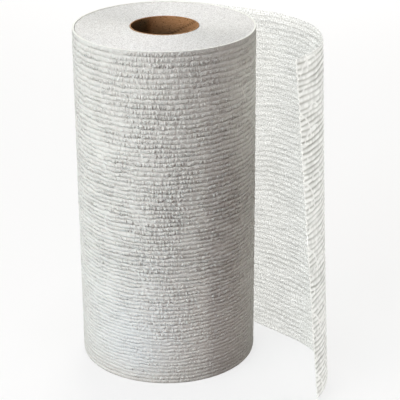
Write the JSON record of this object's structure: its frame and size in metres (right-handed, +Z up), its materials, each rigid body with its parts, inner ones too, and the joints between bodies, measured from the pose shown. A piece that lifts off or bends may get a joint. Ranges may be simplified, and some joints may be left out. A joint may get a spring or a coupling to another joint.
{
  "type": "paper towel roll",
  "caption": "Paper towel roll standing on one end: embossed white paper wound on a cardboard tube, its first stretch hanging loose and curling forwards.",
  "frame": {"origin": "centre of the tube's bore at the roll's lower end, in the plane that the roll stands on", "axes": "+Z up along the tube; the loose stretch hangs on the +X side and its free end curls towards -Y, the side that the picture is taken from"},
  "size_m": [0.2014, 0.173, 0.279],
  "materials": {
    "tissue": "matt, soft, embossed two-ply tissue",
    "cardboard": "matt, spiral wound kraft board"
  },
  "bodies": {
    "root": {"core_tube": "cardboard", "towel_web": "tissue"}
  },
  "joints": []
}
